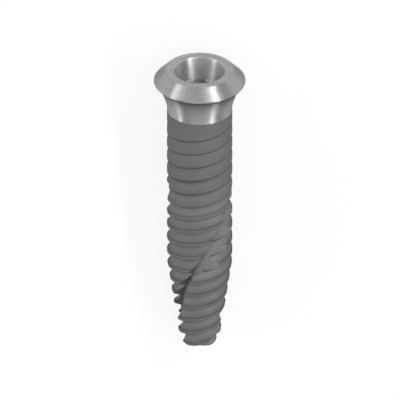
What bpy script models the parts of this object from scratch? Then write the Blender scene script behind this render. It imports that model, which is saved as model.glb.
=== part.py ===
"""Dental implant fixture: a one-piece titanium screw with a flared collar, a double-start
thread that deepens along the body, two spiral cutting flutes and a six-groove socket.

The fixture is modelled upright on its own axis, with depths measured down from the
seating ring, and a parent empty then lays it down as it comes to rest."""

import math

import bpy
import bmesh
from mathutils import Matrix, Vector

MM = 0.001

# Collar, from the seating ring down to the foot of the machined neck
ring_radius = 1.814 * MM
rim_radius = 2.400 * MM
rim_top_depth = 0.576 * MM
rim_land = 0.068 * MM
undercut_run = 0.190 * MM
undercut_height = 0.130 * MM
neck_waist_radius = 1.690 * MM
neck_foot_depth = 2.310 * MM
neck_bands = 6

# Threaded body
body_radius = 1.705 * MM
total_length = 16.375 * MM
taper_depth = 11.300 * MM
rest_ridge_depth = 10.761 * MM
taper_slope = 0.142
tip_round_height = 0.500 * MM
tip_round_run = 0.380 * MM

# Thread: two ridges, right-handed, with a wide ramp above each narrow land
ridge_pitch = 0.792 * MM
ridge_starts = 2
ridge_phase = 0.243 * MM
groove_depth = 0.333 * MM
groove_start_depth = 2.550 * MM
groove_full_depth = 8.700 * MM
ridge_step = 0.085
shallow_land_start = 0.52
deep_land_start = 0.76
hollow_power = 2.6

# Cutting flutes, one opposite the other: a steep wall on the left, a flat floor, and lower
# down a second wall on the right
flute_count = 2
flute_helix = 34.4
flute_start_depth = 6.350 * MM
flute_start_angle = 3.0
flute_cut = 0.350 * MM
flute_low_cut = 0.400 * MM
flute_full_depth = 9.600 * MM
flute_wall_lean = 7.0
flute_wall_depth = 11.350 * MM
flute_wall_run = 0.250 * MM
flute_narrow_width = 14.0
flute_low_width = 33.0
flute_wide_depth = 13.500 * MM
flute_clearance = 0.250 * MM

# Bore: a conical seat, a six-groove socket and a blind screw channel
mouth_radius = 1.334 * MM
mouth_chamfer = 0.050 * MM
seat_depth = 1.150 * MM
seat_radius = 1.105 * MM
socket_radius = 0.900 * MM
socket_groove_reach = 1.075 * MM
socket_groove_half_angle = 18.5
socket_depth = 2.900 * MM
channel_radius = 0.760 * MM
channel_depth = 6.600 * MM
channel_cone_height = 0.400 * MM

# Facets round the axis
around = 36

turn = 2.0 * math.pi
lead = ridge_pitch * ridge_starts
facet = turn / around


def blend(low, high, value):
    """Smooth step from 0 at low to 1 at high."""
    t = min(max((value - low) / (high - low), 0.0), 1.0)
    return t * t * (3.0 - 2.0 * t)


def crest_radius(depth):
    """Radius over the ridges: a cylinder, then a slow taper, then a rounded tip."""
    radius = body_radius - taper_slope * max(depth - taper_depth, 0.0)
    round_start = total_length - tip_round_height
    if depth > round_start:
        t = min((depth - round_start) / tip_round_height, 1.0)
        radius -= tip_round_run * (1.0 - math.sqrt(1.0 - t * t))
    return radius


def groove_at(depth):
    """Depth of the groove below the ridges, which grows along the body."""
    t = (depth - groove_start_depth) / (groove_full_depth - groove_start_depth)
    return groove_depth * min(max(t, 0.0), 1.0)


def land_start(depth):
    """Place of the ridge land within one pitch. Deep grooves leave a narrow land."""
    t = blend(groove_start_depth * 2.2, groove_full_depth, depth)
    return shallow_land_start + (deep_land_start - shallow_land_start) * t


def place_in_pitch(angle, depth):
    """Position within one pitch, 0 at the lower edge of a ridge, growing downwards."""
    along = (depth + lead * angle / turn + ridge_phase) / ridge_pitch
    return along - math.floor(along + 1.0e-5)


def thread_radius(angle, depth):
    """Radius of the threaded surface."""
    w = place_in_pitch(angle, depth)
    start = land_start(depth)
    if w < ridge_step:
        cut = w / ridge_step
    elif w < start:
        t = (w - ridge_step) / (start - ridge_step)
        deep = blend(groove_start_depth * 2.2, groove_full_depth, depth)
        convex = (1.0 - t) ** 1.5
        hollow = 1.0 - t ** hollow_power
        cut = convex * (1.0 - deep) + hollow * deep
    else:
        cut = 0.0
    return crest_radius(depth) - groove_at(depth) * cut


def neck_contour():
    """Points of the collar, from the foot of the neck up to the seating ring."""
    top = rim_top_depth + rim_land + undercut_height
    flare_top = rim_radius - undercut_run
    points = []
    for i in range(1, neck_bands + 1):
        t = i / neck_bands
        depth = neck_foot_depth + (top - neck_foot_depth) * t
        flare = (flare_top - neck_waist_radius) * t ** 1.6
        waist = (body_radius - neck_waist_radius) * (1.0 - t) ** 3
        points.append((neck_waist_radius + flare + waist, depth))
    points.append((rim_radius, rim_top_depth + rim_land))
    points.append((rim_radius, rim_top_depth))
    points.append((ring_radius, 0.0))
    return points


def flute_left(depth):
    """Angle of the left edge of the first flute, which turns at an even helix angle."""
    rate = math.tan(math.radians(flute_helix))
    straight = min(depth, taper_depth) - flute_start_depth
    angle = math.radians(flute_start_angle) - rate * straight / body_radius
    if depth > taper_depth:
        narrowed = body_radius - taper_slope * (depth - taper_depth)
        angle -= rate * math.log(body_radius / narrowed) / taper_slope
    return angle


def flute_section(depth, left):
    """Points of a flute cutter's outline at one depth, from its left edge."""
    crest = crest_radius(min(depth, total_length - tip_round_height))
    outer = body_radius + flute_clearance
    grown = (depth - flute_start_depth) / (flute_full_depth - flute_start_depth)
    cut = flute_cut * (0.02 + 0.98 * math.sqrt(min(grown, 1.0)))
    cut += (flute_low_cut - flute_cut) * blend(flute_full_depth, flute_wall_depth, depth)
    foot = crest - cut
    lean = math.radians(flute_wall_lean) * cut / flute_cut
    closed = blend(flute_wall_depth, flute_wall_depth + flute_wall_run, depth)
    widened = (depth - flute_wall_depth) / (flute_wide_depth - flute_wall_depth)
    widened = min(max(widened, 0.0), 1.0)
    width = math.radians(flute_narrow_width + (flute_low_width - flute_narrow_width) * widened)
    width -= lean
    across = math.acos(foot / outer)
    outer_left = left - lean * (outer - crest) / cut
    section = [
        (outer, outer_left),
        (crest, left),
        (foot, left + lean),
    ]
    steps = 3
    for i in range(1, steps + 1):
        flat = across * i / steps
        flat_radius = foot / math.cos(flat)
        if i < steps:
            walled = width * i / (steps - 1)
            walled_radius = foot
        else:
            walled = width + math.radians(flute_wall_lean)
            walled_radius = outer
        radius = flat_radius + (walled_radius - flat_radius) * closed
        section.append((radius, left + lean + flat + (walled - flat) * closed))
    section.append((outer, (outer_left + section[-1][1]) * 0.5))
    return section


def new_object(name, bm, collection):
    """Mesh object from a bmesh, with its normals set outwards."""
    bmesh.ops.recalc_face_normals(bm, faces=bm.faces[:])
    mesh = bpy.data.meshes.new(name)
    bm.to_mesh(mesh)
    bm.free()
    obj = bpy.data.objects.new(name, mesh)
    collection.objects.link(obj)
    return obj


def swept(name, points, turns, rise, collection):
    """A profile given as radius and height, swept round Z with the Screw modifier."""
    bm = bmesh.new()
    start = facet * 0.5
    previous = None
    for radius, height in points:
        vert = bm.verts.new((radius * math.cos(start), radius * math.sin(start), height))
        if previous is not None:
            bm.edges.new((previous, vert))
        previous = vert
    mesh = bpy.data.meshes.new(name)
    bm.to_mesh(mesh)
    bm.free()
    obj = bpy.data.objects.new(name, mesh)
    collection.objects.link(obj)
    screw = obj.modifiers.new("sweep", "SCREW")
    screw.axis = "Z"
    screw.angle = turn
    screw.steps = around
    screw.render_steps = around
    screw.iterations = turns
    screw.screw_offset = rise
    screw.use_merge_vertices = rise == 0.0
    screw.merge_threshold = 0.000001
    screw.use_smooth_shade = True
    return obj


def as_bmesh(obj):
    """The evaluated mesh of an object, which is then removed."""
    graph = bpy.context.evaluated_depsgraph_get()
    graph.update()
    bm = bmesh.new()
    bm.from_object(obj, graph)
    bpy.data.objects.remove(obj)
    bmesh.ops.remove_doubles(bm, verts=bm.verts[:], dist=0.000001)
    return bm


def cut_level(bm, depth, clear_above=False, clear_below=False):
    """A level cut round the mesh at one depth."""
    geom = bm.verts[:] + bm.edges[:] + bm.faces[:]
    bmesh.ops.bisect_plane(
        bm, geom=geom, dist=0.0000005, plane_co=(0.0, 0.0, -depth), plane_no=(0.0, 0.0, 1.0),
        clear_outer=clear_above, clear_inner=clear_below)


def boundary_at(bm, depth):
    """Open edges at one depth."""
    edges = []
    for edge in bm.edges:
        if edge.is_boundary:
            height = (edge.verts[0].co.z + edge.verts[1].co.z) * 0.5
            if abs(height + depth) < 0.00002:
                edges.append(edge)
    return edges


# Clear the scene and make the collections
for old in list(bpy.data.objects):
    bpy.data.objects.remove(old)

part_collection = bpy.data.collections.new("dental_implant")
cutter_collection = bpy.data.collections.new("cutters")
bpy.context.scene.collection.children.link(part_collection)
bpy.context.scene.collection.children.link(cutter_collection)

# The threaded body starts as one lead of profile, swept in a helix past both ends
marks = [0.0, ridge_step]
for i in (1, 2):
    marks.append(ridge_step + (deep_land_start - ridge_step) * i / 3.0)
marks.append(deep_land_start)
turns = math.ceil((total_length - neck_foot_depth) / lead) + 3
lowest = -total_length - lead * 1.3
angle_start = facet * 0.5
first_edge = math.floor((-lowest + lead * angle_start / turn + ridge_phase) / ridge_pitch)
profile = []
for ridge in range(ridge_starts, -1, -1):
    base = (first_edge - ridge) * ridge_pitch - ridge_phase - lead * angle_start / turn
    for mark in marks:
        profile.append((body_radius, -(base + mark * ridge_pitch)))
        if ridge == 0:
            break
body = as_bmesh(swept("thread_sweep", profile, turns, lead, part_collection))

# Trim it level at the neck and the tip, and add rings where the tip turns in
cut_level(body, neck_foot_depth, clear_above=True)
cut_level(body, total_length, clear_below=True)
for share in (0.0, 0.45, 0.75, 0.92):
    cut_level(body, total_length - tip_round_height * (1.0 - share))

# Press the groove, the taper and the tip into it
for vert in body.verts:
    depth = -vert.co.z
    flat = math.hypot(vert.co.x, vert.co.y)
    scale = thread_radius(math.atan2(vert.co.y, vert.co.x), depth) / body_radius
    vert.co.x *= scale
    vert.co.y *= scale

# Close the tip, then carry the open top loop up the contour of the collar
bmesh.ops.contextual_create(body, geom=boundary_at(body, total_length))
loop = boundary_at(body, neck_foot_depth)
last_radius = body_radius
for radius, depth in neck_contour():
    made = bmesh.ops.extrude_edge_only(body, edges=loop)["geom"]
    loop = [item for item in made if isinstance(item, bmesh.types.BMEdge) and item.is_boundary]
    ring_verts = [item for item in made if isinstance(item, bmesh.types.BMVert)]
    grow = radius / last_radius
    for vert in ring_verts:
        vert.co.x *= grow
        vert.co.y *= grow
        vert.co.z = -depth
    last_radius = radius
bmesh.ops.contextual_create(body, geom=loop)
fixture = new_object("implant_fixture", body, part_collection)

# Flute cutters, lofted down the body
flute_cutters = []
for index in range(flute_count):
    bm = bmesh.new()
    levels = 52
    bottom = total_length + flute_clearance
    previous = None
    for level in range(levels + 1):
        depth = flute_start_depth + (bottom - flute_start_depth) * level / levels
        left = flute_left(depth) + turn * index / flute_count
        ring = []
        for radius, angle in flute_section(depth, left):
            ring.append(bm.verts.new((radius * math.cos(angle), radius * math.sin(angle), -depth)))
        if previous is None:
            bm.faces.new(ring)
        else:
            for i in range(len(ring)):
                j = (i + 1) % len(ring)
                bm.faces.new((previous[i], previous[j], ring[j], ring[i]))
        previous = ring
    bm.faces.new(previous)
    bmesh.ops.triangulate(bm, faces=[f for f in bm.faces if len(f.verts) == 4])
    flute_cutters.append(new_object("cut_flute_%d" % (index + 1), bm, cutter_collection))

# Bore cutter: chamfer, conical seat and blind channel with a drilled cone at its end
bore_profile = [
    (0.0, mouth_chamfer * 2.0),
    (mouth_radius + mouth_chamfer * 2.0, mouth_chamfer * 2.0),
    (mouth_radius + mouth_chamfer, 0.0),
    (mouth_radius, -mouth_chamfer),
    (seat_radius, -seat_depth),
    (channel_radius, -seat_depth),
    (channel_radius, -channel_depth),
    (0.0, -channel_depth - channel_cone_height),
]
bore_cutter = swept("cut_bore", bore_profile, 1, 0.0, cutter_collection)
bore_mesh = as_bmesh(bore_cutter)
bore_cutter = new_object("cut_bore", bore_mesh, cutter_collection)

# Socket cutter: the outline of the six grooves, drawn down to the socket floor
bm = bmesh.new()
outline = []
half = math.radians(socket_groove_half_angle)
for groove in range(6):
    centre = math.radians(90.0 + 60.0 * groove)
    for share in (-1.0, -0.35, 0.35, 1.0):
        outline.append((socket_groove_reach, centre + half * 0.82 * share))
    for share in (1.0, 1.35):
        outline.append((socket_radius, centre + half * share))
    outline.append((socket_radius, centre + math.radians(60.0) - half * 1.35))
    outline.append((socket_radius, centre + math.radians(60.0) - half))
socket_top = -seat_depth + mouth_chamfer
ring = []
for radius, angle in outline:
    ring.append(bm.verts.new((radius * math.cos(angle), radius * math.sin(angle), socket_top)))
face = bm.faces.new(ring)
made = bmesh.ops.extrude_face_region(bm, geom=[face])["geom"]
drop = [item for item in made if isinstance(item, bmesh.types.BMVert)]
bmesh.ops.translate(bm, verts=drop, vec=(0.0, 0.0, -socket_depth - socket_top))
socket_cutter = new_object("cut_socket", bm, cutter_collection)

# Cut the flutes and the bore out of the body
for cutter in flute_cutters + [bore_cutter, socket_cutter]:
    cutter.hide_render = True
    cutter.display_type = "WIRE"
    cut = fixture.modifiers.new(cutter.name, "BOOLEAN")
    cut.operation = "DIFFERENCE"
    cut.solver = "EXACT"
    cut.object = cutter

# Material: titanium, the same metal all over
titanium = bpy.data.materials.new("titanium")
titanium.use_nodes = True
shader = titanium.node_tree.nodes["Principled BSDF"]
shader.inputs["Base Color"].default_value = (0.42, 0.42, 0.43, 1.0)
shader.inputs["Metallic"].default_value = 1.0
shader.inputs["Roughness"].default_value = 0.42
fixture.data.materials.append(titanium)
fixture.data.shade_smooth()
fixture.data.set_sharp_from_angle(angle=math.radians(28.0))

# Lay it down: it rests on the rim and on the last ridge of full diameter, collar to the front
rest_span = rest_ridge_depth - rim_top_depth - rim_land
rest_tilt = math.atan2(rim_radius - body_radius, rest_span)
frame = bpy.data.objects.new("implant_axis", None)
part_collection.objects.link(frame)
lay_down = Matrix.Rotation(math.pi, 4, "Y") @ Matrix.Rotation(math.pi * 0.5, 4, "X")
frame.matrix_world = Matrix.Rotation(-rest_tilt, 4, "X") @ lay_down
for child in [fixture] + flute_cutters + [bore_cutter, socket_cutter]:
    child.parent = frame
bpy.context.view_layer.update()

# Set it on the floor with its middle over the origin
graph = bpy.context.evaluated_depsgraph_get()
placed = fixture.evaluated_get(graph)
spots = [placed.matrix_world @ vert.co for vert in placed.data.vertices]
middle_x = (max(p.x for p in spots) + min(p.x for p in spots)) * 0.5
middle_y = (max(p.y for p in spots) + min(p.y for p in spots)) * 0.5
floor_z = min(p.z for p in spots)
frame.location = Vector((-middle_x, -middle_y, -floor_z))
bpy.context.view_layer.update()
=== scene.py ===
"""Looks of a dental implant that lies on a pale floor: a turned collar and bore, and a
blasted body with a double-start thread and two spiral flutes."""

import math

import bpy
import bmesh
import numpy as np
from mathutils import Matrix, Vector


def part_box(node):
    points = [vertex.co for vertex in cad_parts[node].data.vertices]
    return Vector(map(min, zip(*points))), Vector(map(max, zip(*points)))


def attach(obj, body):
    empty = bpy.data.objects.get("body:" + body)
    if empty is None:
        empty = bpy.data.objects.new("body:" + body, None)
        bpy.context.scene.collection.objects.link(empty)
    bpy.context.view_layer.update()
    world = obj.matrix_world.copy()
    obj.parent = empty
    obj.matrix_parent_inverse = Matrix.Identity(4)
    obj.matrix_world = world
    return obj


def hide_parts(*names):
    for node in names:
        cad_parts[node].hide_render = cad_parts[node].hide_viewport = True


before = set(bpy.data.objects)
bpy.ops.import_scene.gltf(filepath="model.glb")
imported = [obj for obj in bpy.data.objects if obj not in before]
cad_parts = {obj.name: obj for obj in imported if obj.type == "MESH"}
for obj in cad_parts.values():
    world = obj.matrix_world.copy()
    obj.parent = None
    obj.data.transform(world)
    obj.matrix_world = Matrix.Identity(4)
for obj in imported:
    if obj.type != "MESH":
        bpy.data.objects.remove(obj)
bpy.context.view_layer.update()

# Sizes
# The fixture stands upright in its own frame, with depths measured down from the seating
# ring. The sizes are the solid's, except that the rim fits inside the solid's box, the tip
# is rounder and the flute walls lean more, as in the photograph.
MM = 0.001
turn = 2.0 * math.pi
around = 168

ring_radius = 1.814 * MM
rim_radius = 2.386 * MM
rim_top_depth = 0.576 * MM
rim_land = 0.068 * MM
rim_edge_round = 0.022 * MM
undercut_run = 0.190 * MM
undercut_height = 0.130 * MM
undercut_depth = rim_top_depth + rim_land + undercut_height
neck_waist_radius = 1.690 * MM
neck_flare_power = 1.6
neck_shoulder = 0.030 * MM
neck_foot_depth = 2.310 * MM

body_radius = 1.705 * MM
total_length = 16.375 * MM
taper_depth = 11.300 * MM
taper_slope = 0.142
tip_round_height = 0.620 * MM
tip_round_run = 0.520 * MM
rest_rise = 0.695 * MM
rest_span = 10.117 * MM

ridge_pitch = 0.792 * MM
ridge_starts = 2
ridge_phase = 0.243 * MM
lead = ridge_pitch * ridge_starts
groove_depth = 0.333 * MM
groove_start_depth = 2.550 * MM
groove_hollow_depth = groove_start_depth * 2.2
groove_full_depth = 8.700 * MM
ridge_step = 0.085
shallow_land_start = 0.52
deep_land_start = 0.76
convex_power = 1.5
hollow_power = 2.6
brow_share = 0.95
land_chamfer = 0.05
chamfer_cut = 0.012 * MM
chamfer_full_groove = groove_depth * 0.3

flute_count = 2
flute_helix = math.radians(34.4)
flute_start_depth = 6.350 * MM
flute_start_angle = math.radians(3.0)
flute_start_share = 0.02
flute_cut = 0.350 * MM
flute_low_cut = 0.400 * MM
flute_full_depth = 9.600 * MM
flute_foot_round = 0.08
flute_wall_lean = math.radians(9.5)
flute_right_lean = math.radians(15.0)
flute_right_lean_share = 0.6
flute_wall_depth = 11.350 * MM
flute_wall_run = 0.250 * MM
flute_narrow_width = math.radians(14.0)
flute_low_width = math.radians(33.0)
flute_wide_depth = 13.500 * MM
flute_clearance = 0.250 * MM

mouth_radius = 1.334 * MM
mouth_chamfer = 0.050 * MM
seat_depth = 1.150 * MM
seat_radius = 1.105 * MM
socket_grooves = 6
socket_start_angle = math.radians(90.0)
socket_radius = 0.900 * MM
socket_groove_reach = 1.075 * MM
socket_groove_half_angle = math.radians(18.5)
socket_groove_floor_share = 0.86
socket_depth = 2.900 * MM
channel_radius = 0.760 * MM
channel_depth = 6.600 * MM
channel_cone_height = 0.400 * MM

# Slacks
# How near two values count as the same: points after the cuts, points of a sweep, points on
# a cutting plane and edges at one depth, all in metres, and then places within the pitch.
same_point = 0.00002 * MM
weld_distance = 0.0000008
cut_slack = 0.0000002
level_slack = 0.00002
pitch_slack = 1.0e-5
row_slack = 1.0e-4


def blend(low, high, value):
    """Smooth step from 0 at low to 1 at high."""
    t = min(max((value - low) / (high - low), 0.0), 1.0)
    return t * t * (3.0 - 2.0 * t)


def crest_radius(depth):
    """Radius over the ridges: a cylinder, then a slow taper, then a rounded tip."""
    radius = body_radius - taper_slope * max(depth - taper_depth, 0.0)
    round_start = total_length - tip_round_height
    if depth > round_start:
        t = min((depth - round_start) / tip_round_height, 1.0)
        radius -= tip_round_run * (1.0 - math.sqrt(1.0 - t * t))
    return radius


def groove_at(depth):
    """Depth of the groove below the ridges, which grows along the body."""
    t = (depth - groove_start_depth) / (groove_full_depth - groove_start_depth)
    return groove_depth * min(max(t, 0.0), 1.0)


def deep_share(depth):
    """0 where the thread is shallow and convex, 1 where it is deep and hollow."""
    return blend(groove_hollow_depth, groove_full_depth, depth)


def land_start(depth):
    """Place of the ridge land within one pitch."""
    return shallow_land_start + (deep_land_start - shallow_land_start) * deep_share(depth)


def place_in_pitch(angle, depth):
    """Position within one pitch, 0 at the lower edge of a ridge, growing downwards."""
    along = (depth + lead * angle / turn + ridge_phase) / ridge_pitch
    return along - math.floor(along + pitch_slack)


def local_place(w, start):
    """Moves an even position in the pitch so that one row follows the land's edge."""
    if w < ridge_step:
        return w
    if w < deep_land_start:
        return ridge_step + (w - ridge_step) * (start - ridge_step) / (deep_land_start - ridge_step)
    return 1.0 - (1.0 - w) * (1.0 - start) / (1.0 - deep_land_start)


def thread_cut(w, start, deep):
    """Share of the groove depth that is cut away at a position in the pitch."""
    if w < ridge_step:
        return w / ridge_step
    if w < start:
        t = (w - ridge_step) / (start - ridge_step)
        convex = (1.0 - t) ** convex_power
        hollow = 1.0 - t ** hollow_power
        return convex * (1.0 - deep) + hollow * deep
    return 0.0


def thread_radius(angle, depth):
    """Radius of the threaded body at one place."""
    w = place_in_pitch(angle, depth)
    radius = crest_radius(depth)
    radius -= groove_at(depth) * thread_cut(w, land_start(depth), deep_share(depth))
    edge_share = max(0.0, (w - (1.0 - land_chamfer)) / land_chamfer)
    if w < row_slack:
        edge_share = 1.0
    return radius - chamfer_cut * edge_share * blend(0.0, chamfer_full_groove, groove_at(depth))


def mesh_object(name, bm):
    """Object from a bmesh, with its normals set outwards."""
    bmesh.ops.recalc_face_normals(bm, faces=bm.faces[:])
    mesh = bpy.data.meshes.new(name)
    bm.to_mesh(mesh)
    bm.free()
    obj = bpy.data.objects.new(name, mesh)
    bpy.context.scene.collection.objects.link(obj)
    return obj


# Threaded body
# One lead of profile is spun in a helix past both ends and trimmed level. Each point is
# then pressed in to the groove, the taper and the rounded tip.
step_marks = (0.35, 0.75)
slope_marks = (0.15, 0.30, 0.45, 0.60, 0.75, 0.88, brow_share)
tip_levels = (0.0, 0.2, 0.4, 0.58, 0.72, 0.83, 0.91, 0.97)
spare_turns = 3
spare_leads = 1.3


def cut_level(bm, depth, clear_above=False, clear_below=False):
    """A level cut round the mesh at one depth."""
    geom = bm.verts[:] + bm.edges[:] + bm.faces[:]
    bmesh.ops.bisect_plane(
        bm, geom=geom, dist=cut_slack, plane_co=(0.0, 0.0, -depth), plane_no=(0.0, 0.0, 1.0),
        clear_outer=clear_above, clear_inner=clear_below)


def boundary_at(bm, depth):
    """Open edges at one depth."""
    edges = []
    for edge in bm.edges:
        if edge.is_boundary:
            height = (edge.verts[0].co.z + edge.verts[1].co.z) * 0.5
            if abs(height + depth) < level_slack:
                edges.append(edge)
    return edges


def thread_marks():
    """Positions of the profile's points within one pitch."""
    slope = deep_land_start - ridge_step
    land_end = 1.0 - land_chamfer
    marks = [0.0] + [ridge_step * share for share in step_marks] + [ridge_step]
    marks += [ridge_step + slope * share for share in slope_marks]
    marks += [deep_land_start, (deep_land_start + land_end) * 0.5, land_end]
    return marks


def screwed(contour, turns, rise):
    """A contour of radius and height, swept round the axis by the Screw modifier."""
    bm = bmesh.new()
    verts = [bm.verts.new((radius, 0.0, height)) for radius, height in contour]
    for pair in zip(verts, verts[1:]):
        bm.edges.new(pair)
    obj = mesh_object("sweep", bm)
    screw = obj.modifiers.new("sweep", "SCREW")
    screw.angle = turn
    screw.steps = around
    screw.render_steps = around
    screw.iterations = turns
    screw.screw_offset = rise
    graph = bpy.context.evaluated_depsgraph_get()
    swept = bmesh.new()
    swept.from_object(obj, graph)
    bpy.data.objects.remove(obj)
    bmesh.ops.remove_doubles(swept, verts=swept.verts[:], dist=weld_distance)
    return swept


def threaded_body():
    """The outer skin as a bmesh, from the rounded tip up to the foot of the neck."""
    turns = math.ceil((total_length - neck_foot_depth) / lead) + spare_turns
    lowest = -total_length - lead * spare_leads
    first_edge = math.floor((-lowest + ridge_phase) / ridge_pitch)
    contour = []
    for ridge in range(ridge_starts, 0, -1):
        base = (first_edge - ridge) * ridge_pitch - ridge_phase
        for mark in thread_marks():
            contour.append((body_radius, -base - mark * ridge_pitch))
    contour.append((body_radius, ridge_phase - first_edge * ridge_pitch))
    bm = screwed(contour, turns, lead)
    for vert in bm.verts:
        angle = math.atan2(vert.co.y, vert.co.x)
        depth = -vert.co.z
        w = place_in_pitch(angle, depth)
        vert.co.z -= (local_place(w, land_start(depth)) - w) * ridge_pitch
    cut_level(bm, neck_foot_depth, clear_above=True)
    cut_level(bm, total_length, clear_below=True)
    for share in tip_levels:
        cut_level(bm, total_length - tip_round_height * (1.0 - share))
    for vert in bm.verts:
        radius = thread_radius(math.atan2(vert.co.y, vert.co.x), -vert.co.z)
        scale = radius / math.hypot(vert.co.x, vert.co.y)
        vert.co.x *= scale
        vert.co.y *= scale
    return bm


# Collar
# The open top loop of the body is carried up the turned contour to the seating ring.
# The shares place the points that round its edges.
neck_bands = 26
shoulder_share = 0.25
edge_shift_share = 0.4
edge_steps = 3
ring_edge_share = 0.8
ring_edge_points = ((0.3, 0.12), (-0.5, 0.0))
ring_hole_share = 0.9


def arc(points, centre_r, centre_d, radius, first, last):
    """Adds points of an arc to a contour, with angles in degrees."""
    for i in range(edge_steps + 1):
        angle = math.radians(first + (last - first) * i / edge_steps)
        points.append((centre_r + radius * math.cos(angle), centre_d - radius * math.sin(angle)))


def neck_contour():
    """Points of the collar, from the foot of the neck up to the seating ring."""
    flare_top = rim_radius - undercut_run
    points = [(body_radius - neck_shoulder * shoulder_share,
               neck_foot_depth - neck_shoulder * shoulder_share)]
    for i in range(1, neck_bands + 1):
        t = i / neck_bands
        depth = neck_foot_depth - neck_shoulder + (undercut_depth - neck_foot_depth + neck_shoulder) * t
        flare = (flare_top - neck_waist_radius) * t ** neck_flare_power
        points.append((neck_waist_radius + flare, depth))
    land_low = rim_top_depth + rim_land
    arc_radius = rim_radius - rim_edge_round
    arc_shift = rim_edge_round * edge_shift_share
    arc(points, arc_radius, land_low - arc_shift, rim_edge_round, -60.0, 0.0)
    arc(points, arc_radius, rim_top_depth + arc_shift, rim_edge_round, 0.0, 45.0)
    bevel = math.atan2(rim_top_depth, rim_radius - ring_radius)
    step = rim_edge_round * ring_edge_share
    points.append((ring_radius + step * math.cos(bevel), step * math.sin(bevel)))
    for outward, down in ring_edge_points:
        points.append((ring_radius + step * outward, step * down))
    points.append(((ring_radius + mouth_radius) * 0.5, 0.0))
    points.append((mouth_radius * ring_hole_share, 0.0))
    return points


def add_collar(bm):
    """Closes the tip and carries the top loop up the collar's contour."""
    bmesh.ops.contextual_create(bm, geom=boundary_at(bm, total_length))
    loop = boundary_at(bm, neck_foot_depth)
    last_radius = body_radius
    for radius, depth in neck_contour():
        made = bmesh.ops.extrude_edge_only(bm, edges=loop)["geom"]
        loop = [item for item in made if isinstance(item, bmesh.types.BMEdge) and item.is_boundary]
        grow = radius / last_radius
        for vert in [item for item in made if isinstance(item, bmesh.types.BMVert)]:
            vert.co.x *= grow
            vert.co.y *= grow
            vert.co.z = -depth
        last_radius = radius
    bmesh.ops.contextual_create(bm, geom=loop)


# Flutes
# Each cutter is a section lofted down the body in a spiral. It has a steep wall on the left
# and a flat floor, which leaves the round body on the right. Lower down a second wall
# closes it on the right.
flute_levels = 170
flute_floor_steps = 6


def flute_left(depth):
    """Angle of the left edge of the first flute at one depth."""
    rate = math.tan(flute_helix)
    straight = min(depth, taper_depth) - flute_start_depth
    angle = flute_start_angle - rate * straight / body_radius
    if depth > taper_depth:
        narrowed = body_radius - taper_slope * (depth - taper_depth)
        angle -= rate * math.log(body_radius / narrowed) / taper_slope
    return angle


def flute_low_right(depth):
    """Width of the lower flute, from the left edge to the top of the right wall."""
    widened = (depth - flute_wall_depth) / (flute_wide_depth - flute_wall_depth)
    widened = min(max(widened, 0.0), 1.0)
    return flute_narrow_width + (flute_low_width - flute_narrow_width) * widened


def flute_section(depth, left):
    """Points of a flute cutter's outline at one depth, from its left edge."""
    crest = crest_radius(min(depth, total_length - tip_round_height))
    outer = body_radius + flute_clearance
    grown = (depth - flute_start_depth) / (flute_full_depth - flute_start_depth)
    cut = flute_cut * (flute_start_share + (1.0 - flute_start_share) * math.sqrt(min(grown, 1.0)))
    cut += (flute_low_cut - flute_cut) * blend(flute_full_depth, flute_wall_depth, depth)
    foot = crest - cut
    lean = flute_wall_lean * cut / flute_cut
    across = math.acos(foot / outer)
    closed = blend(flute_wall_depth, flute_wall_depth + flute_wall_run, depth)
    right = flute_low_right(depth) - lean
    right_lean = min(flute_right_lean, right * flute_right_lean_share)
    outer_left = left - lean * (outer - crest) / cut
    section = [
        (outer, outer_left),
        (crest, left),
        (foot + cut * flute_foot_round, left + lean * (1.0 - flute_foot_round)),
    ]
    for i in range(1, flute_floor_steps + 1):
        flat = across * i / flute_floor_steps
        flat_radius = foot / math.cos(flat)
        walled = (right - right_lean) * i / (flute_floor_steps - 1)
        walled_radius = foot
        if i == flute_floor_steps:
            walled = right + right_lean * (outer - crest) / cut
            walled_radius = outer
        radius = flat_radius + (walled_radius - flat_radius) * closed
        section.append((radius, left + lean + flat + (walled - flat) * closed))
    section.append((outer, (outer_left + section[-1][1]) * 0.5))
    return section


def flute_cutter(index):
    """One flute cutter, from above its start to below the tip."""
    bm = bmesh.new()
    bottom = total_length + flute_clearance
    previous = None
    for level in range(flute_levels + 1):
        depth = flute_start_depth + (bottom - flute_start_depth) * level / flute_levels
        left = flute_left(depth) + turn * index / flute_count
        ring = []
        for radius, angle in flute_section(depth, left):
            spot = (radius * math.cos(angle), radius * math.sin(angle), -depth)
            ring.append(bm.verts.new(spot))
        loop = [bm.edges.new((ring[i - 1], ring[i])) for i in range(len(ring))]
        if previous is None:
            bmesh.ops.contextual_create(bm, geom=loop)
        else:
            bmesh.ops.bridge_loops(bm, edges=previous + loop)
        previous = loop
    bmesh.ops.contextual_create(bm, geom=previous)
    bmesh.ops.triangulate(bm, faces=[f for f in bm.faces if len(f.verts) == 4])
    return mesh_object("cut_flute_%d" % (index + 1), bm)


# Bore
# A turned cutter for the mouth, the conical seat and the channel, and a drawn one for the
# socket with its six grooves.
chamfer_round_out = 0.35
chamfer_round_down = 0.45
seat_bands = 8
groove_floor_steps = 8
groove_gap_steps = 6


def bore_cutter():
    """Mouth chamfer, conical seat and blind channel."""
    above = mouth_chamfer * 2.0
    contour = [
        (0.0, above),
        (mouth_radius + mouth_chamfer + above, above),
        (mouth_radius + mouth_chamfer, 0.0),
        (mouth_radius + mouth_chamfer * chamfer_round_out, -mouth_chamfer * chamfer_round_down),
        (mouth_radius, -mouth_chamfer),
    ]
    for i in range(1, seat_bands + 1):
        t = i / seat_bands
        contour.append((
            mouth_radius + (seat_radius - mouth_radius) * t,
            -mouth_chamfer + (mouth_chamfer - seat_depth) * t))
    contour += [
        (channel_radius, -seat_depth),
        (channel_radius, -channel_depth),
        (0.0, -channel_depth - channel_cone_height),
    ]
    return mesh_object("cut_bore", screwed(contour, 1, 0.0))


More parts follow.
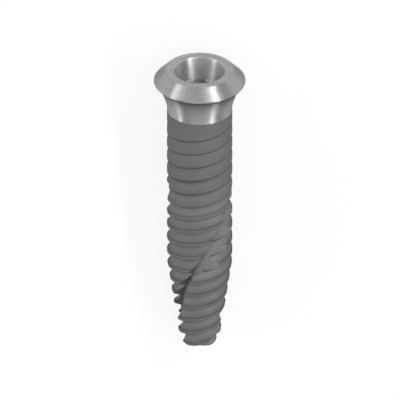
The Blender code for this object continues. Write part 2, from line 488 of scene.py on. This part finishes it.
def socket_cutter():
    """The outline of the six grooves, drawn down to the socket floor."""
    bm = bmesh.new()
    half = socket_groove_half_angle
    pitch_angle = turn / socket_grooves
    outline = []
    for groove in range(socket_grooves):
        centre = socket_start_angle + pitch_angle * groove
        for i in range(groove_floor_steps + 1):
            across = 2.0 * i / groove_floor_steps - 1.0
            outline.append((socket_groove_reach, centre + half * socket_groove_floor_share * across))
        for i in range(groove_gap_steps + 1):
            gap = (pitch_angle - 2.0 * half) * i / groove_gap_steps
            outline.append((socket_radius, centre + half + gap))
    top = -seat_depth + mouth_chamfer
    ring = [bm.verts.new((r * math.cos(a), r * math.sin(a), top)) for r, a in outline]
    face = bm.faces.new(ring)
    made = bmesh.ops.extrude_face_region(bm, geom=[face])["geom"]
    drop = [item for item in made if isinstance(item, bmesh.types.BMVert)]
    bmesh.ops.translate(bm, verts=drop, vec=(0.0, 0.0, -socket_depth - top))
    return mesh_object("cut_socket", bm)


# Implant
# The skin is cut by the flutes and the bore, laid down as the solid lies, and its faces
# are given the finish of the zone that they are in.
turned_zone = 0
blasted_zone = 1
bore_zone = 2

# Each row has the depth that a part of the bore ends at, and a radius that takes in its wall.
bore_reach = (
    (seat_depth, mouth_radius + mouth_chamfer * 0.98),
    (socket_depth * 1.001, seat_radius * 1.01),
    (channel_depth + channel_cone_height, channel_radius * 1.1),
)
turning_length = 10.0 * MM
sharp_angle = math.radians(32.0)

# Shades say how much darker the metal's colour is painted at a point, as painted shade: 0 in
# the open, 1 in a corner, and below 0 painted light that makes it paler. They are fitted to the
# photograph.
corner_shade_full = 0.35
corner_shade_end = 0.80
shade_full_groove = 0.04 * MM
brow_shade = 0.6
brow_slack = 0.02
hollow_painted_light = 0.75
rim_shade_start = undercut_depth * 0.98
rim_shade_run = 1.150 * MM
flute_least_cut = 0.006 * MM
flute_wall_shade = 0.8
flute_foot_width = flute_wall_lean * 1.4
flute_foot_shade = 0.15
flute_floor_share = 0.6
flute_floor_shade = 0.7
flute_painted_light = 0.45
flute_pale_depth = 13.700 * MM
flute_pale_run = 1.0 * MM
socket_shade = 0.1
socket_shade_start = seat_depth * 0.99


def cut_away(obj, cutters):
    """Cuts each cutter out of the object, and keeps the result as its mesh. Points that the
    cuts leave on one spot are joined, so that no face has zero area."""
    for cutter in cutters:
        step = obj.modifiers.new(cutter.name, "BOOLEAN")
        step.operation = "DIFFERENCE"
        step.solver = "EXACT"
        step.object = cutter
    graph = bpy.context.evaluated_depsgraph_get()
    mesh = bpy.data.meshes.new_from_object(obj.evaluated_get(graph))
    obj.modifiers.clear()
    obj.data = mesh
    for cutter in cutters:
        bpy.data.objects.remove(cutter)
    bm = bmesh.new()
    bm.from_mesh(mesh)
    bmesh.ops.remove_doubles(bm, verts=bm.verts[:], dist=same_point)
    bmesh.ops.dissolve_degenerate(bm, edges=bm.edges[:], dist=same_point)
    bm.to_mesh(mesh)
    bm.free()


def zone_of(centre):
    """Zone of a face: turned collar, blasted body or bore."""
    depth = -centre.z
    reach = [radius for end, radius in bore_reach if depth < end]
    if reach and math.hypot(centre.x, centre.y) < reach[0]:
        return bore_zone
    return turned_zone if depth < neck_foot_depth else blasted_zone


def painted_shade_at(spot):
    """Painted shade of a point: the neck under the rim, the corner under each ridge and the steep
    brow above its land are painted darker, and the middle of a hollow is painted paler as
    painted light."""
    depth = -spot.z
    # Painted shadow of the rim, on the neck below it.
    if rim_shade_start < depth < neck_foot_depth:
        return max(0.0, 1.0 - (depth - undercut_depth) / rim_shade_run) ** 2
    step = groove_at(depth)
    if step == 0.0:
        return 0.0
    w = place_in_pitch(math.atan2(spot.y, spot.x), depth)
    if w > 1.0 - row_slack:
        w = 0.0
    # Painted shade in the corner under each ridge.
    shade = 1.0 - blend(corner_shade_full * step, corner_shade_end * step, w * ridge_pitch)
    brow = (w - ridge_step) / (land_start(depth) - ridge_step)
    # Painted shade: a thin dark line on the steep brow above each land.
    if abs(brow - brow_share) < brow_slack:
        shade = max(shade, brow_shade * deep_share(depth))
    elif 0.0 < brow < 1.0:
        # Painted light: the middle of each deep hollow is painted paler.
        shade -= hollow_painted_light * deep_share(depth) * 4.0 * brow * (1.0 - brow)
    return shade * blend(0.0, shade_full_groove, step)


def flute_shade(centre):
    """Painted shade of a face that a flute has cut: darker on the wall, beside its foot and in the
    deep channel until near the tip, and paler elsewhere as painted light; or None for a face of
    the thread.
    """
    depth = -centre.z
    angle = math.atan2(centre.y, centre.x)
    if math.hypot(centre.x, centre.y) > thread_radius(angle, depth) - flute_least_cut:
        return None
    across = (angle - flute_left(depth)) % (turn / flute_count)
    if across < flute_wall_lean:
        return flute_wall_shade
    if depth > flute_wall_depth and across < flute_low_right(depth) * flute_floor_share:
        pale = blend(flute_pale_depth, flute_pale_depth + flute_pale_run, depth)
        return flute_floor_shade - (flute_floor_shade + flute_painted_light) * pale
    if across < flute_foot_width:
        return flute_foot_shade
    return -flute_painted_light


def finish_mesh(obj, lay_down):
    """Zones, painted shade and light, the turning map and the final place of the implant's mesh."""
    mesh = obj.data
    shades = [painted_shade_at(vert.co) for vert in mesh.vertices]
    painted_shade = mesh.attributes.new("painted_shade", "FLOAT", "CORNER")
    for polygon in mesh.polygons:
        zone = zone_of(polygon.center)
        depth = -polygon.center.z
        polygon.material_index = zone
        flat = None
        # A flat painted shade on the bore's socket, and the flutes' painted shade and light on the
        # faces they cut.
        if zone == bore_zone:
            flat = socket_shade if depth > socket_shade_start else 0.0
        if zone == blasted_zone and depth > flute_start_depth:
            flat = flute_shade(polygon.center)
        for index in polygon.loop_indices:
            shade = shades[mesh.loops[index].vertex_index] if flat is None else flat
            painted_shade.data[index].value = shade
    layer = mesh.uv_layers.new(name="turning")
    for polygon in mesh.polygons:
        middle = math.atan2(polygon.center.y, polygon.center.x)
        for index in polygon.loop_indices:
            spot = mesh.vertices[mesh.loops[index].vertex_index].co
            angle = math.atan2(spot.y, spot.x)
            angle -= turn * round((angle - middle) / turn)
            layer.data[index].uv = (angle / turn, -spot.z / turning_length)
    mesh.transform(lay_down)
    mesh.shade_smooth()
    mesh.set_sharp_from_angle(angle=sharp_angle)


rest_tilt = math.atan2(rest_rise, rest_span)
upright_to_lying = (
    Matrix.Rotation(-rest_tilt, 4, "X")
    @ Matrix.Rotation(math.pi, 4, "Y")
    @ Matrix.Rotation(math.pi * 0.5, 4, "X"))

skin = threaded_body()
add_collar(skin)
implant = mesh_object("implant", skin)
cut_away(implant, [flute_cutter(0), flute_cutter(1), bore_cutter(), socket_cutter()])
spots = np.array([upright_to_lying @ v.co for v in implant.data.vertices])
solid_low, solid_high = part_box("implant_fixture")
place = Vector((
    (solid_low.x + solid_high.x - spots[:, 0].min() - spots[:, 0].max()) * 0.5,
    solid_low.y - spots[:, 1].min(),
    solid_low.z - spots[:, 2].min()))
lay_down = Matrix.Translation(place) @ upright_to_lying

# Materials
# Titanium in two finishes. Both patterns are laid out in the upright frame of the fixture,
# with scales in features a millimetre, and pairs are the lowest and the highest value.
noise_range = (0.3, 0.7)
noise_roughness = 0.55

blasted_colour = (0.223, 0.223, 0.227)
blasted_tint = (0.02, 0.02, 0.03, 1.0)
blasted_roughness = (0.74, 0.84)
# The darkest factor that the painted shade brings the blasted colour down to.
blasted_darkest = 0.55
grain_scale = 14.0
grain_tones = (0.90, 1.10)
cloud_scale = 1.1
cloud_tones = (0.97, 1.03)
pit_scale = 22.0
pit_strength = 0.35
pit_depth = 0.006 * MM

turned_colour = (0.418, 0.421, 0.43)
turned_roughness = 0.44
turned_tint = (0.35, 0.36, 0.38, 1.0)
# The darkest factor that the painted shade brings the turned colour down to.
turned_darkest = 0.26
# Painted light: the bore is the collar's turned titanium, painted paler so that it looks lit.
bore_colour_painted_light = (0.60, 0.60, 0.60)
bore_roughness = 0.47
roughness_spread = 0.03
turning_anisotropy = 0.9
turning_rotation = 0.25
line_squeeze = (0.12, 0.12, 1.0)
line_scale = 10.0
line_noise_roughness = 0.6
line_tones = (0.90, 1.10)
line_strength = 0.4
line_depth = 0.002 * MM


def upright_coordinates(nodes, links):
    """Object coordinates turned back upright, in millimetres."""
    source = nodes.new("ShaderNodeTexCoord")
    turned = nodes.new("ShaderNodeMapping")
    turned.vector_type = "TEXTURE"
    turned.inputs["Location"].default_value = place
    turned.inputs["Rotation"].default_value = upright_to_lying.to_euler()
    turned.inputs["Scale"].default_value = (MM, MM, MM)
    links.new(source.outputs["Object"], turned.inputs["Vector"])
    return turned.outputs["Vector"]


def noise(nodes, links, vector, scale, detail, roughness=noise_roughness):
    """A noise texture's grey value, at so many features a millimetre."""
    node = nodes.new("ShaderNodeTexNoise")
    node.inputs["Scale"].default_value = scale
    node.inputs["Detail"].default_value = detail
    node.inputs["Roughness"].default_value = roughness
    links.new(vector, node.inputs["Vector"])
    return node.outputs["Fac"]


def ramp(nodes, links, value, span):
    """The usual range of a noise's grey value, mapped onto a lowest and a highest number."""
    node = nodes.new("ShaderNodeMapRange")
    node.inputs["From Min"].default_value = noise_range[0]
    node.inputs["From Max"].default_value = noise_range[1]
    node.inputs["To Min"].default_value = span[0]
    node.inputs["To Max"].default_value = span[1]
    links.new(value, node.inputs["Value"])
    return node.outputs["Result"]


def product(nodes, links, one, other):
    """Two grey values multiplied."""
    node = nodes.new("ShaderNodeMath")
    node.operation = "MULTIPLY"
    links.new(one, node.inputs[0])
    links.new(other, node.inputs[1])
    return node.outputs[0]


def tinted(nodes, links, colour, factor):
    """A colour made lighter or darker by a grey factor."""
    node = nodes.new("ShaderNodeVectorMath")
    node.operation = "SCALE"
    node.inputs[0].default_value = colour
    links.new(factor, node.inputs["Scale"])
    return node.outputs["Vector"]


def shaded(nodes, links, factor, darkest):
    """A grey factor made darker where the mesh carries painted shade, and paler where it carries
    painted light.
    """
    shade = nodes.new("ShaderNodeAttribute")
    shade.attribute_name = "painted_shade"
    darker = nodes.new("ShaderNodeMapRange")
    darker.clamp = False
    darker.inputs["To Min"].default_value = 1.0
    darker.inputs["To Max"].default_value = darkest
    links.new(shade.outputs["Fac"], darker.inputs["Value"])
    return product(nodes, links, factor, darker.outputs["Result"])


def relief(nodes, links, shader, height, strength, depth):
    """Bump on a shader from a grey height."""
    bump = nodes.new("ShaderNodeBump")
    bump.inputs["Strength"].default_value = strength
    bump.inputs["Distance"].default_value = depth
    links.new(height, bump.inputs["Height"])
    links.new(bump.outputs["Normal"], shader.inputs["Normal"])


def metal(name):
    """A Principled metal with its nodes, links and shader."""
    material = bpy.data.materials.new(name)
    material.use_nodes = True
    nodes = material.node_tree.nodes
    shader = nodes["Principled BSDF"]
    shader.inputs["Metallic"].default_value = 1.0
    return material, nodes, material.node_tree.links, shader


def blasted_titanium():
    """Matt grey titanium with the fine pits of grit blasting."""
    material, nodes, links, shader = metal("blasted_titanium")
    spot = upright_coordinates(nodes, links)
    grain = noise(nodes, links, spot, grain_scale, 3.0)
    cloud = noise(nodes, links, spot, cloud_scale, 2.0)
    tones = product(
        nodes, links, ramp(nodes, links, grain, grain_tones), ramp(nodes, links, cloud, cloud_tones))
    factor = shaded(nodes, links, tones, blasted_darkest)
    links.new(tinted(nodes, links, blasted_colour, factor), shader.inputs["Base Color"])
    links.new(ramp(nodes, links, grain, blasted_roughness), shader.inputs["Roughness"])
    shader.inputs["Specular Tint"].default_value = blasted_tint
    pits = noise(nodes, links, spot, pit_scale, 2.0)
    relief(nodes, links, shader, pits, pit_strength, pit_depth)
    return material


def turned_titanium(name, colour, roughness):
    """Bright titanium with fine turning lines round its axis."""
    material, nodes, links, shader = metal(name)
    spot = upright_coordinates(nodes, links)
    squeeze = nodes.new("ShaderNodeMapping")
    squeeze.inputs["Scale"].default_value = line_squeeze
    links.new(spot, squeeze.inputs["Vector"])
    lines = noise(
        nodes, links, squeeze.outputs["Vector"], line_scale, 3.0, line_noise_roughness)
    factor = shaded(nodes, links, ramp(nodes, links, lines, line_tones), turned_darkest)
    links.new(tinted(nodes, links, colour, factor), shader.inputs["Base Color"])
    span = (roughness - roughness_spread, roughness + roughness_spread)
    links.new(ramp(nodes, links, lines, span), shader.inputs["Roughness"])
    shader.inputs["Anisotropic"].default_value = turning_anisotropy
    shader.inputs["Anisotropic Rotation"].default_value = turning_rotation
    shader.inputs["Specular Tint"].default_value = turned_tint
    tangent = nodes.new("ShaderNodeTangent")
    tangent.direction_type = "UV_MAP"
    tangent.uv_map = "turning"
    links.new(tangent.outputs["Tangent"], shader.inputs["Tangent"])
    relief(nodes, links, shader, lines, line_strength, line_depth)
    return material


implant.data.materials.clear()
implant.data.materials.append(turned_titanium("turned_titanium", turned_colour, turned_roughness))
implant.data.materials.append(blasted_titanium())
implant.data.materials.append(turned_titanium("bore_titanium_painted_light", bore_colour_painted_light, bore_roughness))
finish_mesh(implant, lay_down)
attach(implant, "root")
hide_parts("implant_fixture")

# Floor
# A wide white block whose top shows as white and still takes a soft shadow. It is deep, so
# that a low camera sees no edge below the implant.
floor_size = 0.9
floor_top_slack = 0.01
floor_paint = (0.85, 0.85, 0.85, 1.0)
floor_glow_share = 0.85


def empty_material(name):
    """A material without nodes, with its node list and links."""
    material = bpy.data.materials.new(name)
    material.use_nodes = True
    material.node_tree.nodes.clear()
    return material, material.node_tree.nodes, material.node_tree.links


def white_top():
    """Paint that glows for the camera and in the metal, and lights as plain paint."""
    material, nodes, links = empty_material("white_floor")
    paint = nodes.new("ShaderNodeBsdfDiffuse")
    paint.inputs["Color"].default_value = floor_paint
    glow = nodes.new("ShaderNodeEmission")
    path = nodes.new("ShaderNodeLightPath")
    seen = path.outputs["Is Camera Ray"]
    for ray in ("Is Glossy Ray", "Is Transmission Ray"):
        either = nodes.new("ShaderNodeMath")
        either.operation = "MAXIMUM"
        links.new(seen, either.inputs[0])
        links.new(path.outputs[ray], either.inputs[1])
        seen = either.outputs[0]
    share = nodes.new("ShaderNodeMath")
    share.operation = "MULTIPLY"
    share.inputs[1].default_value = floor_glow_share
    links.new(seen, share.inputs[0])
    mix = nodes.new("ShaderNodeMixShader")
    links.new(share.outputs[0], mix.inputs["Fac"])
    links.new(paint.outputs["BSDF"], mix.inputs[1])
    links.new(glow.outputs["Emission"], mix.inputs[2])
    output = nodes.new("ShaderNodeOutputMaterial")
    links.new(mix.outputs["Shader"], output.inputs["Surface"])
    return material


def white_sides():
    """Plain white, for the sides and the underside."""
    material, nodes, links = empty_material("white_below")
    glow = nodes.new("ShaderNodeEmission")
    output = nodes.new("ShaderNodeOutputMaterial")
    links.new(glow.outputs["Emission"], output.inputs["Surface"])
    return material


def white_floor():
    """Floor under the lying implant."""
    bm = bmesh.new()
    middle = Matrix.Translation((0.0, 0.0, -floor_size * 0.5))
    bmesh.ops.create_cube(bm, size=floor_size, matrix=middle)
    for face in bm.faces:
        face.material_index = 0 if face.calc_center_median().z > -floor_top_slack else 1
    floor = mesh_object("floor", bm)
    floor.data.materials.append(white_top())
    floor.data.materials.append(white_sides())


white_floor()

# Camera
# The photograph looks down at 30 degrees onto the end of an upright implant. The same
# view of the lying one is placed by the middle of its seating ring.
look_down = math.radians(30.0)
photo_pixels = 400.0
pixel = 0.0521 * MM
ring_left_of_centre = 0.35
ring_above_centre = 129.89
stand_off = 0.20
nearest = 0.001
farthest = 20.0

turned_axes = lay_down.to_3x3()
right = turned_axes @ Vector((1.0, 0.0, 0.0))
up = turned_axes @ Vector((0.0, math.sin(look_down), math.cos(look_down)))
back = turned_axes @ Vector((0.0, -math.cos(look_down), math.sin(look_down)))
ring_middle = lay_down @ Vector((0.0, 0.0, 0.0))
target = ring_middle + right * (ring_left_of_centre * pixel) - up * (ring_above_centre * pixel)

camera_data = bpy.data.cameras.new("camera")
camera_data.type = "ORTHO"
camera_data.ortho_scale = photo_pixels * pixel
camera_data.clip_start = nearest
camera_data.clip_end = farthest
camera = bpy.data.objects.new("camera", camera_data)
bpy.context.scene.collection.objects.link(camera)
facing = Matrix((right, up, back)).transposed().to_4x4()
camera.matrix_world = Matrix.Translation(target + back * stand_off) @ facing
bpy.context.scene.camera = camera

# Light
# A pale studio with one broad soft box in front and a tall strip on either side. The
# streaks on the collar in the photograph give their directions.
lamp_aim_depth = total_length * 0.4
sky_colour = (0.95, 0.975, 1.0, 1.0)
sky_strength = 0.47


def soft_box(name, azimuth, elevation, distance, width, height, watts):
    """Area lamp aimed at the implant. Angles are in its upright frame, from its front."""
    a = math.radians(azimuth)
    e = math.radians(elevation)
    toward = Vector((math.sin(a) * math.cos(e), -math.cos(a) * math.cos(e), math.sin(e)))
    middle = lay_down @ Vector((0.0, 0.0, -lamp_aim_depth))
    lamp_data = bpy.data.lights.new(name, "AREA")
    lamp_data.shape = "RECTANGLE"
    lamp_data.size = width
    lamp_data.size_y = height
    lamp_data.energy = watts
    lamp = bpy.data.objects.new(name, lamp_data)
    bpy.context.scene.collection.objects.link(lamp)
    z_axis = (turned_axes @ toward).normalized()
    x_axis = (turned_axes @ Vector((0.0, 0.0, 1.0))).cross(z_axis).normalized()
    y_axis = z_axis.cross(x_axis)
    turned = Matrix((x_axis, y_axis, z_axis)).transposed().to_4x4()
    lamp.matrix_world = Matrix.Translation(middle + z_axis * distance) @ turned


soft_box("soft_box_front", azimuth=4.0, elevation=-5.0, distance=0.30,
         width=0.50, height=0.30, watts=0.40)
soft_box("strip_right", azimuth=44.0, elevation=22.0, distance=0.25,
         width=0.014, height=0.90, watts=0.83)
soft_box("strip_left", azimuth=-70.0, elevation=22.0, distance=0.25,
         width=0.024, height=0.90, watts=0.54)

world = bpy.data.worlds.new("studio")
world.use_nodes = True
sky = world.node_tree.nodes["Background"]
sky.inputs["Color"].default_value = sky_colour
sky.inputs["Strength"].default_value = sky_strength
bpy.context.scene.world = world
bpy.context.scene.view_settings.view_transform = "Standard"
